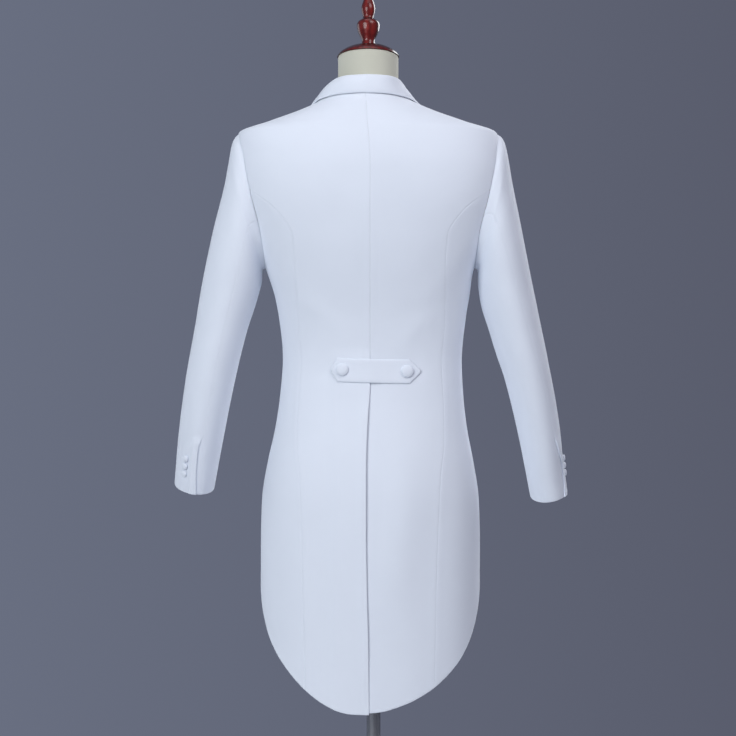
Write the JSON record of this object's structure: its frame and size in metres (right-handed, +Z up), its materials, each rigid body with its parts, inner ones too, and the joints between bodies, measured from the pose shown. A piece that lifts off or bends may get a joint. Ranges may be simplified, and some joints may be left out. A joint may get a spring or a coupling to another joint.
{
  "type": "tuxedo tailcoat on a dress form stand",
  "caption": "White tuxedo tailcoat with half-belt, centre vent and covered buttons, on a limbless dress form with turned neck cap, pole and round base.",
  "frame": {"origin": "centre of the base's underside, on the floor", "axes": "+Z up along the pole, +Y towards the coat's back, -Y towards its front, +X towards the wearer's left side"},
  "size_m": [0.6819, 0.34, 1.6769],
  "materials": {
    "white_suiting": "matt, smooth weave",
    "covered_button": "matt, cloth covered",
    "cream_cotton": "matt",
    "red_brown_wood": "varnished",
    "steel": "satin"
  },
  "bodies": {
    "root": {"back_left": "white_suiting", "back_right": "white_suiting", "side_left": "white_suiting", "side_right": "white_suiting", "front_left": "white_suiting", "front_right": "white_suiting", "top_sleeve_left": "white_suiting", "top_sleeve_right": "white_suiting", "under_sleeve_left": "white_suiting", "under_sleeve_right": "white_suiting", "lapel_left": "white_suiting", "lapel_right": "white_suiting", "collar_stand": "white_suiting", "collar": "white_suiting", "half_belt": "white_suiting", "belt_button_left": "covered_button", "belt_button_right": "covered_button", "front_button": "covered_button", "cuff_button_left_1": "covered_button", "cuff_button_left_2": "covered_button", "cuff_button_left_3": "covered_button", "cuff_button_right_1": "covered_button", "cuff_button_right_2": "covered_button", "cuff_button_right_3": "covered_button", "dress_form": "cream_cotton", "neck_cap": "red_brown_wood", "finial": "red_brown_wood", "pole": "steel", "base": "steel"}
  },
  "joints": []
}
